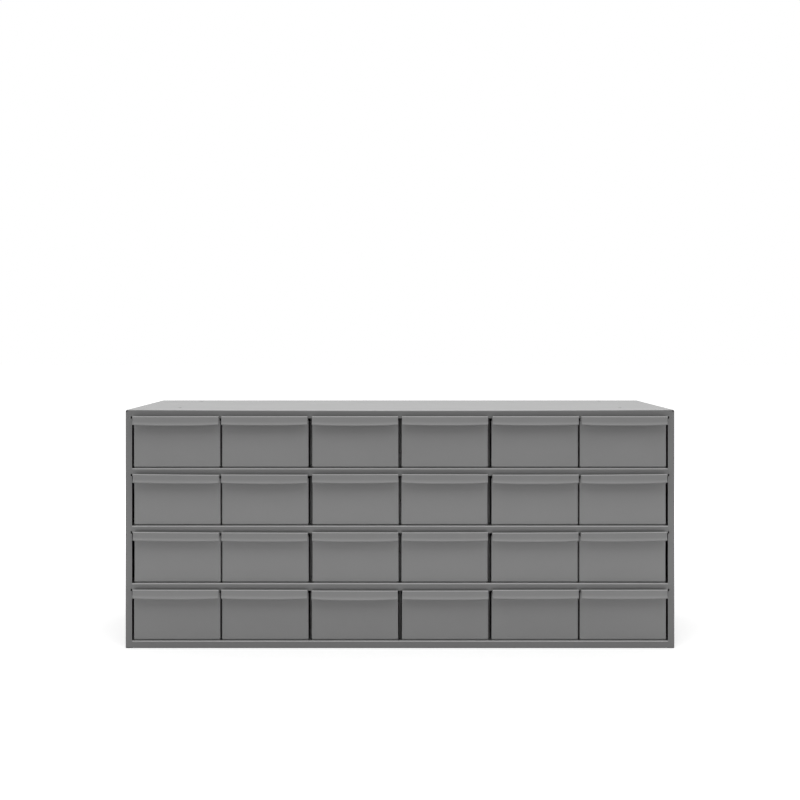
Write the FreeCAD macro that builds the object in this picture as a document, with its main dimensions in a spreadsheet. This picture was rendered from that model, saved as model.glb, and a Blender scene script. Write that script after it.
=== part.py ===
import FreeCAD, Part
import math
import os
import re
import Sketcher

# A folded sheet-steel parts bin cabinet: a wrapper, a bottom pan, a back pan, three shelves and
# five partitions that lock together like an egg crate, and a drawer in every one of the cells.
# Each drawer is a folded box with a front whose top edge folds over into a hooded pull.
# X runs along the front, Y runs from the front to the back and Z points up.

ROWS = 4
COLUMNS = 6

SIZES = {
    # the cabinet as a whole
    "cabinet_width": 857.25,
    "cabinet_depth": 295.3,
    "cabinet_sheet": 0.9,
    "cabinet_bend": 0.6,          # inside radius of the folds
    "cabinet_edge": 1.4,          # outside radius of a fold that is sharp inside
    # the frame round the drawers
    "side_flange": 10.2,
    "top_rail": 13.4,
    "shelf_rail": 11.7,
    "base_rail": 12.0,
    "opening_height": 78.0,
    "base_return": 12.0,          # the flanges turned in under the cabinet, which it rests on
    "notch_width": 2.0,           # relief notches in the side flanges at the ends of the rails
    "notch_above": 3.0,
    "notch_below": 0.6,
    "seam_slit": 0.4,             # open seam between the top rail and the side flanges
    "corner_slit": 1.4,           # gap between the side flanges' lower ends and the floor
    # the four holes in the top
    "top_hole": 6.4,
    "top_hole_spacing": 708.0,
    "top_hole_front": 59.0,
    "top_hole_rear": 27.3,        # from the cabinet's rear
    # inner pieces
    "back_flange": 12.0,
    "shelf_flange": 9.0,
    "partition_recess": 4.0,
    "lap_gap": 0.2,               # play of a partition in a shelf's slot
    "seat_gap": 0.1,              # play where one sheet lies against another
    # the drawers
    "drawer_sheet": 0.7,
    "drawer_bend": 0.9,
    "drawer_edge": 1.2,
    "drawer_gap": 4.2,
    "drawer_depth": 285.75,
    "drawer_side_drop": 8.15,     # the drawer's sides end this far below the rail above
    "drawer_stop": 5.0,           # the back stands this far above the rail's edge, as a stop
    "drawer_tab": 8.0,
    "drawer_ride": 0.3,
    "face_setback": 1.0,
    "front_flange": 12.0,
    "front_floor_flange": 11.0,
    "shoulder_drop": 3.9,         # the front's upper corners stop this far below the rail
    # the hooded pull
    "hood_inset": 0.3,            # the hood's ends stand in from the drawer's sides
    "hood_relief": 0.6,           # slit between the hood and the side folds below it
    "fold_margin": 0.1,           # flat left beside the front's side folds
    "hood_gap": 0.35,             # the ramp passes under the rail with this gap: the closing stop
    "hood_reach": 15.2,
    "crest_forward": 11.6,
    "crest_rise": 4.4,
    "lip_drop": 7.6,
    "curl_forward": 1.3,
    "curl_drop": 1.3,
    # how far every cut runs past the sheet
    "overrun": 5.0,
}

# Sizes that follow from others, as formulas of the names above.
OPENING_WIDTH = "(cabinet_width - 2 * side_flange)"
COLUMN_PITCH = f"({OPENING_WIDTH} / {COLUMNS})"
ROW_PITCH = "(opening_height + shelf_rail)"
HEIGHT = f"(base_rail + {ROWS} * {ROW_PITCH} - shelf_rail + top_rail)"
CABINET_OUTSIDE_BEND = "(cabinet_bend + cabinet_sheet)"
INSIDE_WIDTH = "(cabinet_width - 2 * cabinet_sheet - 2 * seat_gap)"
INNER_REAR = "(cabinet_depth - back_flange - seat_gap)"
RAIL_WIDTH = f"({OPENING_WIDTH} - 2 * seat_gap)"
SIDE_PLATE_FRONT = f"({CABINET_OUTSIDE_BEND} + seat_gap)"
LAP = f"((partition_recess + {INNER_REAR}) / 2)"
FRONT_PLANE = "((hood_reach - cabinet_depth) / 2)"
DRAWER_WIDTH = f"({COLUMN_PITCH} - drawer_gap)"
BOX_WIDTH = f"({DRAWER_WIDTH} - 2 * drawer_sheet)"
DRAWER_OUTSIDE_BEND = "(drawer_bend + drawer_sheet)"
BOX_FRONT = f"(face_setback + {DRAWER_OUTSIDE_BEND})"
BOX_REAR = "(face_setback + drawer_depth)"
FLOOR_FLANGE_WIDTH = f"({BOX_WIDTH} - 2 * {DRAWER_OUTSIDE_BEND} - 2 * seat_gap)"
HOOD_WIDTH = f"({DRAWER_WIDTH} - 2 * hood_inset)"
FACE_WIDTH = f"({DRAWER_WIDTH} - 2 * {DRAWER_OUTSIDE_BEND} - 2 * fold_margin)"
SHOULDER = "(opening_height - shoulder_drop)"
DRAWER_SIDE = "(opening_height - drawer_side_drop)"
DRAWER_BACK = "(opening_height + drawer_stop)"

# Which two coordinates a sketch on each of a body's planes shows.
PLANE_AXES = {"XY_Plane": (0, 1), "XZ_Plane": (0, 2), "YZ_Plane": (1, 2)}
TINY = 1e-5

# How a fold is rounded: on both faces of the sheet, on the outer face alone, or not at all.
ROUND, EDGE, SHARP = "round", "edge", "sharp"


def make_sheet(document):
    table = document.addObject("Spreadsheet::Sheet", "Sizes")
    for row, (name, size) in enumerate(SIZES.items(), 1):
        table.set(f"A{row}", name)
        table.set(f"B{row}", str(size))
        table.setAlias(f"B{row}", name)
    document.recompute()
    return table


def formula(text):
    """Write each size's name in text as a reference to the sheet."""
    def reference(found):
        word = found.group()
        return "Sizes." + word if word in SIZES else word
    return re.sub(r"[a-z][a-z_]*", reference, text)


def number(text):
    return float(sizes.evalExpression(formula(text)))


def new_body(label, across="0", back=FRONT_PLANE, up="0"):
    body = doc.addObject("PartDesign::Body", label)
    body.Label = label
    place(body, across, back, up)
    return body


def place(body, across, back, up):
    body.setExpression("Placement.Base.x", formula(across))
    body.setExpression("Placement.Base.y", formula(back))
    body.setExpression("Placement.Base.z", formula(up))


def copy_of(source, label, across="0", back=FRONT_PLANE, up="0"):
    """A body with the same shape as source, at its own place."""
    body = doc.addObject("PartDesign::Body", label)
    body.Label = label
    base = doc.addObject("PartDesign::FeatureBase", label + "_shape")
    base.BaseFeature = source
    body.Group = [base]
    body.Tip = base
    place(body, across, back, up)
    return body


def new_sketch(body, name, role, offset="0"):
    sketch = body.newObject("Sketcher::SketchObject", name)
    plane = [item for item in body.Origin.OriginFeatures if item.Role == role][0]
    sketch.AttachmentSupport = (plane, [""])
    sketch.MapMode = "FlatFace"
    sketch.setExpression("AttachmentOffset.Base.z", formula(offset))
    return sketch


def constrain(sketch, text, kind, *items):
    index = sketch.addConstraint(Sketcher.Constraint(kind, *items, number(text)))
    sketch.setExpression(f"Constraints[{index}]", formula(text))


def fix_start(sketch, line, across, up):
    constrain(sketch, across, "DistanceX", -1, 1, line, 1)
    constrain(sketch, up, "DistanceY", -1, 1, line, 1)


def draw_loop(sketch, points):
    """Draw straight lines from point to point and back to the first; return the first line."""
    first = sketch.GeometryCount
    count = len(points)
    for index, point in enumerate(points):
        sketch.addGeometry(Part.LineSegment(point, points[(index + 1) % count]))
    for index in range(count):
        following = first + (index + 1) % count
        sketch.addConstraint(Sketcher.Constraint("Coincident", first + index, 2, following, 1))
    return first


def draw_outline(sketch, corners):
    points = [FreeCAD.Vector(number(across), number(up), 0) for across, up in corners]
    first = draw_loop(sketch, points)
    for index, (across, up) in enumerate(corners):
        fix_start(sketch, first + index, across, up)


def draw_rectangle(sketch, left, low, right, high):
    draw_outline(sketch, [(left, low), (right, low), (right, high), (left, high)])


def draw_circle(sketch, across, up, diameter):
    middle = FreeCAD.Vector(number(across), number(up), 0)
    circle = sketch.addGeometry(Part.Circle(middle, FreeCAD.Vector(0, 0, 1), number(diameter) / 2))
    constrain(sketch, across, "DistanceX", -1, 1, circle, 3)
    constrain(sketch, up, "DistanceY", -1, 1, circle, 3)
    constrain(sketch, diameter, "Diameter", circle)


def offset_chain(chain, distance):
    """The corners of a line that runs beside chain, distance to its left."""
    normals = []
    for start, end in zip(chain, chain[1:]):
        along = (end - start).normalize()
        normals.append(FreeCAD.Vector(-along.y, along.x, 0))
    beside = [chain[0] + normals[0] * distance]
    for corner, before, after in zip(chain[1:], normals, normals[1:]):
        beside.append(corner + (before + after) * (distance / (1 + before.dot(after))))
    beside.append(chain[-1] + normals[-1] * distance)
    return beside


def draw_strip(sketch, corners, thickness, side):
    """Draw a folded sheet's section. Its one face passes through corners, and the sheet lies to
    the left of them (side 1) or to the right (side -1). Return its inside and outside corners."""
    chain = [FreeCAD.Vector(number(across), number(up), 0) for across, up in corners]
    beside = offset_chain(chain, side * number(thickness))
    count = len(chain)
    first = draw_loop(sketch, chain + beside[::-1])
    last = first + 2 * count - 1
    for index, (across, up) in enumerate(corners):
        fix_start(sketch, first + index, across, up)
    for index in range(count - 1):
        other = last - 1 - index
        sketch.addConstraint(Sketcher.Constraint("Parallel", first + index, other))
        constrain(sketch, thickness, "Distance", first + index, 1, other)
    sketch.addConstraint(Sketcher.Constraint("Perpendicular", first + count - 2, first + count - 1))
    sketch.addConstraint(Sketcher.Constraint("Perpendicular", first, last))
    inside, outside = [], []
    for index in range(1, count - 1):
        before = chain[index] - chain[index - 1]
        after = chain[index + 1] - chain[index]
        turns_to_sheet = (before.x * after.y - before.y * after.x) * side > 0
        inside.append(beside[index] if turns_to_sheet else chain[index])
        outside.append(chain[index] if turns_to_sheet else beside[index])
    return inside, outside


def add_pad(body, sketch, length, reverse=False, middle=False):
    pad = body.newObject("PartDesign::Pad", sketch.Name + "_pad")
    pad.Profile = sketch
    pad.setExpression("Length", formula(length))
    pad.Reversed = reverse
    pad.Midplane = middle
    doc.recompute()
    return pad


def add_pocket(body, sketch, length, reverse=False, middle=False):
    before = body.Shape.Volume
    pocket = body.newObject("PartDesign::Pocket", sketch.Name + "_pocket")
    pocket.Profile = sketch
    pocket.setExpression("Length", formula(length))
    pocket.Reversed = reverse
    pocket.Midplane = middle
    doc.recompute()
    if body.Shape.Volume > before - TINY:
        raise RuntimeError(f"{sketch.Name} cuts nothing")
    return pocket


def add_fillet(body, name, base, edges, radius):
    fillet = body.newObject("PartDesign::Fillet", name)
    fillet.Base = (base, edges)
    fillet.setExpression("Radius", formula(radius))
    doc.recompute()
    return fillet


def edges_at(shape, role, corners):
    """Names of the edges that stand on the sketch plane at these corners."""
    names = []
    for index, edge in enumerate(shape.Edges, 1):
        ends = [[vertex.Point[axis] for axis in PLANE_AXES[role]] for vertex in edge.Vertexes]
        for corner in corners:
            if all(math.dist(end, (corner.x, corner.y)) < TINY for end in ends):
                names.append(f"Edge{index}")
    return names


def add_folded_sheet(body, name, role, corners, family, side, length, offset=None, folds=ROUND):
    """Pad a folded sheet's section and round its folds. Without an offset the pad is centred.
    family is cabinet or drawer. folds is one way of rounding for all the folds, or a list."""
    sheet = family + "_sheet"
    sketch = new_sketch(body, name, role, offset or "0")
    inside, outside = draw_strip(sketch, corners, sheet, side)
    result = add_pad(body, sketch, length, reverse=role == "XZ_Plane", middle=offset is None)
    if isinstance(folds, str):
        folds = [folds] * len(inside)
    steps = (
        ("inside", inside, ROUND, f"{family}_bend"),
        ("outside", outside, ROUND, f"{family}_bend + {sheet}"),
        ("edge", outside, EDGE, f"{family}_edge"),
    )
    for step, places, kind, radius in steps:
        chosen = [place for place, fold in zip(places, folds) if fold == kind]
        if chosen:
            edges = edges_at(result.Shape, role, chosen)
            result = add_fillet(body, f"{name}_{step}", result, edges, radius)
    return result


def mirrored_rectangles(sketch, near, low, far, high):
    """One rectangle at each end of the front, between near and far from the middle."""
    draw_rectangle(sketch, near, low, far, high)
    draw_rectangle(sketch, f"-({far})", low, f"-({near})", high)


def make_wrapper():
    """The top and both sides, with flanges turned in round the front and under the sides."""
    body = new_body("cabinet_wrapper")
    half = "cabinet_width / 2"
    front = CABINET_OUTSIDE_BEND
    hoop = [
        (f"-({half} - base_return)", "0"),
        (f"-{half}", "0"),
        (f"-{half}", HEIGHT),
        (half, HEIGHT),
        (half, "0"),
        (f"{half} - base_return", "0"),
    ]
    add_folded_sheet(body, "hoop", "XZ_Plane", hoop, "cabinet", -1,
                     f"cabinet_depth - {front}", f"-{front}", [EDGE, ROUND, ROUND, EDGE])
    rail = [("0", f"{HEIGHT} - top_rail"), ("0", HEIGHT), (f"{front} + overrun", HEIGHT)]
    add_folded_sheet(body, "top_rail_section", "YZ_Plane", rail, "cabinet", -1,
                     f"cabinet_width - 2 * {front}")
    ends = new_sketch(body, "top_rail_ends", "XZ_Plane")
    edge = f"({OPENING_WIDTH} / 2)"
    mirrored_rectangles(ends, f"{edge} - seam_slit", f"{HEIGHT} - top_rail - overrun",
                        half, f"{HEIGHT} - {front}")
    add_pocket(body, ends, front)

    flange_height = f"{HEIGHT} - {front} - seam_slit - corner_slit"
    for name, sign, side in (("left_flange", "-", -1), ("right_flange", "", 1)):
        flange = [(f"{sign}({half} - side_flange)", "0"), (f"{sign}({half})", "0"),
                  (f"{sign}({half})", f"{front} + overrun")]
        add_folded_sheet(body, name, "XY_Plane", flange, "cabinet", side,
                         flange_height, "corner_slit")

    notches = new_sketch(body, "rail_notches", "XZ_Plane")
    for row in range(ROWS):
        rail_edge = f"base_rail + {row} * {ROW_PITCH} + opening_height"
        mirrored_rectangles(notches, f"{edge} - overrun", f"{rail_edge} - notch_below",
                            f"{edge} + notch_width", f"{rail_edge} + notch_above")
    add_pocket(body, notches, front)

    holes = new_sketch(body, "top_holes", "XY_Plane", HEIGHT)
    for across in ("-top_hole_spacing / 2", "top_hole_spacing / 2"):
        for back in ("top_hole_front", "cabinet_depth - top_hole_rear"):
            draw_circle(holes, across, back, "top_hole")
    add_pocket(body, holes, "overrun")
    return body


def add_side_flanges(body, name, surface, drop):
    """The plate's side strips, each turned down against the cabinet's side."""
    corners = [(f"-{INSIDE_WIDTH} / 2", f"{surface} - {drop}"), (f"-{INSIDE_WIDTH} / 2", surface),
               (f"{INSIDE_WIDTH} / 2", surface), (f"{INSIDE_WIDTH} / 2", f"{surface} - {drop}")]
    return add_folded_sheet(body, name, "XZ_Plane", corners, "cabinet", -1,
                            f"{INNER_REAR} - {SIDE_PLATE_FRONT}", f"-{SIDE_PLATE_FRONT}", SHARP)


def make_bottom():
    """The pan that carries the lowest drawers, with the base rail folded down and under it."""
    body = new_body("cabinet_bottom")
    corners = [("base_return", "0"), ("0", "0"), ("0", "base_rail"), (INNER_REAR, "base_rail"),
               (INNER_REAR, "base_rail - shelf_flange")]
    add_folded_sheet(body, "bottom_section", "YZ_Plane", corners, "cabinet", -1, RAIL_WIDTH,
                     folds=[EDGE, EDGE, SHARP])
    add_side_flanges(body, "bottom_sides", "base_rail", "shelf_flange")
    ends = new_sketch(body, "return_ends", "XZ_Plane")
    mirrored_rectangles(ends, "cabinet_width / 2 - base_return - corner_slit", "-overrun",
                        "cabinet_width / 2", "corner_slit")
    add_pocket(body, ends, "base_return + overrun")
    return body


def make_back():
    """A shallow pan whose flanges, folded forward, lie inside the wrapper's rear edge."""
    body = new_body("cabinet_back")
    low = "(cabinet_sheet + seat_gap)"
    high = f"({HEIGHT} - {low})"
    half = f"{INSIDE_WIDTH} / 2"
    front = "cabinet_depth - back_flange"
    upright = [(front, low), ("cabinet_depth", low), ("cabinet_depth", high), (front, high)]
    add_folded_sheet(body, "back_upright", "YZ_Plane", upright, "cabinet", 1,
                     f"{INSIDE_WIDTH} - 2 * {CABINET_OUTSIDE_BEND}", folds=EDGE)
    level = [(f"-{half}", front), (f"-{half}", "cabinet_depth"), (half, "cabinet_depth"),
             (half, front)]
    add_folded_sheet(body, "back_level", "XY_Plane", level, "cabinet", -1,
                     f"{high} - {low} - 2 * {CABINET_OUTSIDE_BEND}",
                     f"{low} + {CABINET_OUTSIDE_BEND}", EDGE)
    return body


def partition_places():
    return [f"{step} * {COLUMN_PITCH}" for step in range(1 - COLUMNS // 2, COLUMNS // 2)]


def make_shelf(label, up):
    """A plate with its front edge folded down as a rail and slots from behind for partitions."""
    body = new_body(label, up=up)
    corners = [("0", "-shelf_rail"), ("0", "0"), (INNER_REAR, "0"), (INNER_REAR, "-shelf_flange")]
    add_folded_sheet(body, "shelf_section", "YZ_Plane", corners, "cabinet", -1, RAIL_WIDTH,
                     folds=[EDGE, SHARP])
    add_side_flanges(body, "shelf_sides", "0", "shelf_flange")
    slots = new_sketch(body, "shelf_slots", "XY_Plane")
    half = "(cabinet_sheet / 2 + lap_gap)"
    for across in partition_places():
        draw_rectangle(slots, f"{across} - {half}", LAP, f"{across} + {half}",
                       f"{INNER_REAR} + overrun")
    add_pocket(body, slots, "2 * (shelf_rail + overrun)", middle=True)
    return body


def make_partition(label, across):
    """An upright plate between two columns, with slots from the front for the shelves."""
    body = new_body(label, across=across)
    low = "base_rail + seat_gap"
    high = f"{HEIGHT} - cabinet_sheet - seat_gap"
    corners = [(INNER_REAR, low), (INNER_REAR, high), ("partition_recess", high)]
    for row in range(ROWS - 1, 0, -1):
        surface = f"base_rail + {row} * {ROW_PITCH}"
        above = f"{surface} + lap_gap"
        below = f"{surface} - cabinet_sheet - lap_gap"
        corners += [("partition_recess", above), (LAP, above), (LAP, below),
                    ("partition_recess", below)]
    corners.append(("partition_recess", low))
    outline = new_sketch(body, "partition_outline", "YZ_Plane")
    draw_outline(outline, corners)
    add_pad(body, outline, "cabinet_sheet", middle=True)
    return body


def make_drawer_box(label, across, up):
    """Floor and sides, the back folded up from the floor, and the sides' tabs inside the back.
    The back stands taller than the sides."""
    body = new_body(label, across=across, up=up)
    half = f"{BOX_WIDTH} / 2"
    fold = DRAWER_OUTSIDE_BEND
    inner = f"({BOX_REAR} - drawer_sheet - seat_gap)"
    trough = [(f"-{half}", DRAWER_SIDE), (f"-{half}", "drawer_ride"), (half, "drawer_ride"),
              (half, DRAWER_SIDE)]
    add_folded_sheet(body, "trough", "XZ_Plane", trough, "drawer", 1,
                     f"{inner} - {fold} - {BOX_FRONT}", f"-{BOX_FRONT}", EDGE)
    back = [(f"{BOX_REAR} - {fold} - overrun", "drawer_ride"), (BOX_REAR, "drawer_ride"),
            (BOX_REAR, DRAWER_BACK)]
    add_folded_sheet(body, "back_wall", "YZ_Plane", back, "drawer", 1,
                     f"{BOX_WIDTH} - 2 * {fold}", folds=SHARP)
    low = f"(drawer_ride + {fold})"
    for name, sign, side in (("left_tab", "-", -1), ("right_tab", "", 1)):
        tab = [(f"{sign}({half})", f"{inner} - {fold} - overrun"), (f"{sign}({half})", inner),
               (f"{sign}({half} - {fold} - drawer_tab)", inner)]
        add_folded_sheet(body, name, "XY_Plane", tab, "drawer", side,
                         f"{DRAWER_SIDE} - {low}", low, SHARP)
    return body


def make_drawer_front(label, across, up):
    """The face, its side and floor flanges, and the hooded pull folded out of its top edge."""
    body = new_body(label, across=across, up=up)
    rear = "(face_setback + drawer_sheet)"
    floor = "(drawer_ride + 2 * drawer_sheet)"
    slope = "((crest_rise + hood_gap) / crest_forward)"
    hood = [
        ("face_setback + front_floor_flange", floor),
        (rear, floor),
        (rear, f"opening_height - hood_gap - {rear} * {slope}"),
        ("-crest_forward", "opening_height + crest_rise"),
        ("-(hood_reach - curl_forward)", "opening_height - lip_drop"),
        ("-hood_reach", "opening_height - lip_drop - curl_drop"),
    ]
    add_folded_sheet(body, "hood_section", "YZ_Plane", hood, "drawer", 1, HOOD_WIDTH,
                     folds=[EDGE, SHARP, ROUND, SHARP])
    beside = new_sketch(body, "hood_reliefs", "XZ_Plane")
    mirrored_rectangles(beside, f"{FACE_WIDTH} / 2", "-overrun", f"{DRAWER_WIDTH} / 2",
                        f"{SHOULDER} + hood_relief")
    add_pocket(body, beside, "front_flange + overrun")
    low = f"(drawer_ride + {DRAWER_OUTSIDE_BEND} + seat_gap)"
    face = [
        (f"-{DRAWER_WIDTH} / 2", "face_setback + front_flange"),
        (f"-{DRAWER_WIDTH} / 2", "face_setback"),
        (f"{DRAWER_WIDTH} / 2", "face_setback"),
        (f"{DRAWER_WIDTH} / 2", "face_setback + front_flange"),
    ]
    add_folded_sheet(body, "face_section", "XY_Plane", face, "drawer", 1,
                     f"{SHOULDER} - {low}", low, EDGE)
    corners = new_sketch(body, "floor_flange_corners", "XZ_Plane")
    mirrored_rectangles(corners, f"{FLOOR_FLANGE_WIDTH} / 2", "-overrun", f"{DRAWER_WIDTH} / 2",
                        low)
    add_pocket(body, corners, "2 * (front_flange + overrun)", middle=True)
    return body


def make_drawers():
    """The drawer in every cell, counted from the top left."""
    bodies = []
    first_box = first_front = None
    for row in range(ROWS):
        for column in range(COLUMNS):
            across = f"({column} - {(COLUMNS - 1) / 2}) * {COLUMN_PITCH}"
            up = f"base_rail + {ROWS - 1 - row} * {ROW_PITCH}"
            name = f"drawer_r{row + 1}c{column + 1}"
            if first_box is None:
                first_box = make_drawer_box(name + "_box", across, up)
                first_front = make_drawer_front(name + "_front", across, up)
                bodies += [first_box, first_front]
            else:
                bodies.append(copy_of(first_box, name + "_box", across, up=up))
                bodies.append(copy_of(first_front, name + "_front", across, up=up))
    return bodies


def make_cabinet():
    bodies = [make_wrapper(), make_bottom(), make_back()]
    lowest = make_shelf("shelf_3", f"base_rail + {ROW_PITCH}")
    bodies.append(lowest)
    for row in range(2, ROWS):
        up = f"base_rail + {row} * {ROW_PITCH}"
        bodies.append(copy_of(lowest, f"shelf_{ROWS - row}", up=up))
    places = partition_places()
    first = make_partition("partition_1", places[0])
    bodies.append(first)
    for index, across in enumerate(places[1:], 2):
        bodies.append(copy_of(first, f"partition_{index}", across))
    return bodies


def check_document(document, bodies):
    for item in document.Objects:
        if "Invalid" in item.State or "Error" in item.State:
            raise RuntimeError(f"{item.Label} failed: {item.State}")
    for body in bodies:
        if body.Shape.isNull() or not body.Shape.isValid() or len(body.Shape.Solids) != 1:
            raise RuntimeError(f"{body.Label} has no valid single solid")


doc = FreeCAD.newDocument("PartsCabinet")
sizes = make_sheet(doc)
pieces = make_cabinet() + make_drawers()
doc.recompute()
check_document(doc, pieces)
os.makedirs("parts", exist_ok=True)
for piece in pieces:
    piece.Shape.exportStep(f"parts/{piece.Label}.step")
print(f"{len(pieces)} pieces written")
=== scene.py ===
import math
import random

import bmesh
import bpy
from mathutils import Euler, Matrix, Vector, noise


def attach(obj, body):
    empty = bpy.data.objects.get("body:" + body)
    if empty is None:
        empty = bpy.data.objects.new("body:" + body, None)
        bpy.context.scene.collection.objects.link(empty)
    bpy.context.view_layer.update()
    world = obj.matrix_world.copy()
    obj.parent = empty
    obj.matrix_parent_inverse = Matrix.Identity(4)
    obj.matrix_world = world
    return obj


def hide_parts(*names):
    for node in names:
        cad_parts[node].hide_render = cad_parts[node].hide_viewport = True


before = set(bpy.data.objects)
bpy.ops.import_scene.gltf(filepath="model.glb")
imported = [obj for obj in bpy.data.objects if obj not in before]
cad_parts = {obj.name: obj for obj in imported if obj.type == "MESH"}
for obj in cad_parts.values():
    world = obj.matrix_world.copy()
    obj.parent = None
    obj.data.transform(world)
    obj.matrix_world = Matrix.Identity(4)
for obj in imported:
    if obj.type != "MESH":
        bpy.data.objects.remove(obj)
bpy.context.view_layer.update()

mm = 0.001

# A steel parts bin cabinet. Its pieces are thin blanks, most of them folded on a press brake, welded
# and sprayed with grey enamel. Sizes are in millimetres in the dictionaries, apart from the studio's
# lamps and floor, and in metres in the meshes.
cabinet = {
    "width": 857.25, "depth": 295.3, "height": 372.5, "front": -140.05,
    "sheet": 0.9, "bend": 0.6, "rows": 4, "columns": 6,
    "sideFlange": 10.2, "shelfRail": 11.7, "baseRail": 12.0, "openingHeight": 78.0,
    "backFlange": 12.0, "shelfFlange": 9.0, "baseReturn": 12.0, "cornerSlit": 1.4, "play": 0.1,
    "lapFront": 4.0,  # where the solids' partitions start, which sets how deep they lap the shelves
}
columnPitch = (cabinet["width"] - 2 * cabinet["sideFlange"]) / cabinet["columns"]
rowPitch = cabinet["openingHeight"] + cabinet["shelfRail"]
insideWidth = cabinet["width"] - 2 * cabinet["sheet"] - 2 * cabinet["play"]
innerRear = cabinet["depth"] - cabinet["backFlange"] - cabinet["play"]
railHalf = cabinet["width"] / 2 - cabinet["sideFlange"] - cabinet["play"]
outerBend = cabinet["bend"] + cabinet["sheet"]
partitionPlaces = [(step - cabinet["columns"] / 2) * columnPitch
                   for step in range(1, cabinet["columns"])]


def linear(hexColour):
    # an sRGB colour as the linear values that the shaders take
    parts = [int(hexColour[i:i + 2], 16) / 255 for i in (1, 3, 5)]
    return tuple(p / 12.92 if p <= 0.04045 else ((p + 0.055) / 1.055) ** 2.4 for p in parts) + (1.0,)


def addNode(tree, kind, inputs=None, **settings):
    node = tree.nodes.new(kind)
    for name, value in settings.items():
        setattr(node, name, value)
    for socket, value in (inputs or {}).items():
        if isinstance(value, bpy.types.NodeSocket):
            tree.links.new(value, node.inputs[socket])
        else:
            node.inputs[socket].default_value = value
    return node


# Baked enamel sprayed on sheet steel: a satin coat with a faint orange peel. The folds that turn
# upward are painted lighter, a painted highlight, and the weld marks take a little of the same pale
# colour.
cabinetFinish = {"colour": "#6a6a6a", "shade": "#656565", "fold": "#a2a2a2", "roughness": 0.32,
                 "spread": 0.03, "cloudSize": 90.0, "peelSize": 3.0, "peelDepth": 0.02,
                 "peelStrength": 0.5}
drawerFinish = {"colour": "#787878", "shade": "#737373", "fold": "#a0a0a0", "roughness": 0.36,
                "spread": 0.03, "cloudSize": 60.0, "peelSize": 3.0, "peelDepth": 0.02,
                "peelStrength": 0.5}


def bakedEnamel(name, finish):
    material = bpy.data.materials.new(name)
    material.use_nodes = True
    tree = material.node_tree
    tree.nodes.clear()
    place = addNode(tree, "ShaderNodeTexCoord").outputs["Object"]
    clouds = addNode(tree, "ShaderNodeTexNoise",
                     {"Vector": place, "Scale": 1000 / finish["cloudSize"], "Detail": 3.0})
    coat = addNode(tree, "ShaderNodeMix", {
        "Factor": clouds.outputs["Fac"], 6: linear(finish["shade"]), 7: linear(finish["colour"])},
        data_type="RGBA")
    # the attribute holds the painted highlight on the folds and the paler tone of the weld marks
    folds = addNode(tree, "ShaderNodeAttribute", attribute_name="foldHighlightAndWeldTone")
    painted = addNode(tree, "ShaderNodeMix", {
        "Factor": folds.outputs["Fac"], 6: coat.outputs[2], 7: linear(finish["fold"])},
        data_type="RGBA")
    satin = addNode(tree, "ShaderNodeMapRange", {
        "Value": clouds.outputs["Fac"], "To Min": finish["roughness"] - finish["spread"],
        "To Max": finish["roughness"] + finish["spread"]})
    # real orange peel is under 1 mm across, and is drawn 3 mm across so that it shows from 2 m away
    peel = addNode(tree, "ShaderNodeTexNoise", {"Vector": place, "Scale": 1000 / finish["peelSize"]})
    bump = addNode(tree, "ShaderNodeBump", {
        "Height": peel.outputs["Fac"], "Strength": finish["peelStrength"],
        "Distance": finish["peelDepth"] * mm})
    shader = addNode(tree, "ShaderNodeBsdfPrincipled", {
        "Base Color": painted.outputs[2], "Roughness": satin.outputs["Result"],
        "Normal": bump.outputs["Normal"], "IOR": 1.5})
    addNode(tree, "ShaderNodeOutputMaterial", {"Surface": shader.outputs["BSDF"]})
    return material


cabinetEnamel = bakedEnamel("baked_enamel_cabinet", cabinetFinish)
drawerEnamel = bakedEnamel("baked_enamel_drawer", drawerFinish)
print("enamels mixed")


def turned(vector, angle):
    c, s = math.cos(angle), math.sin(angle)
    return Vector((vector.x * c - vector.y * s, vector.x * s + vector.y * c))


shortestCell = 0.02  # a cut that is nearer to a fold than this is left out


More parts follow.
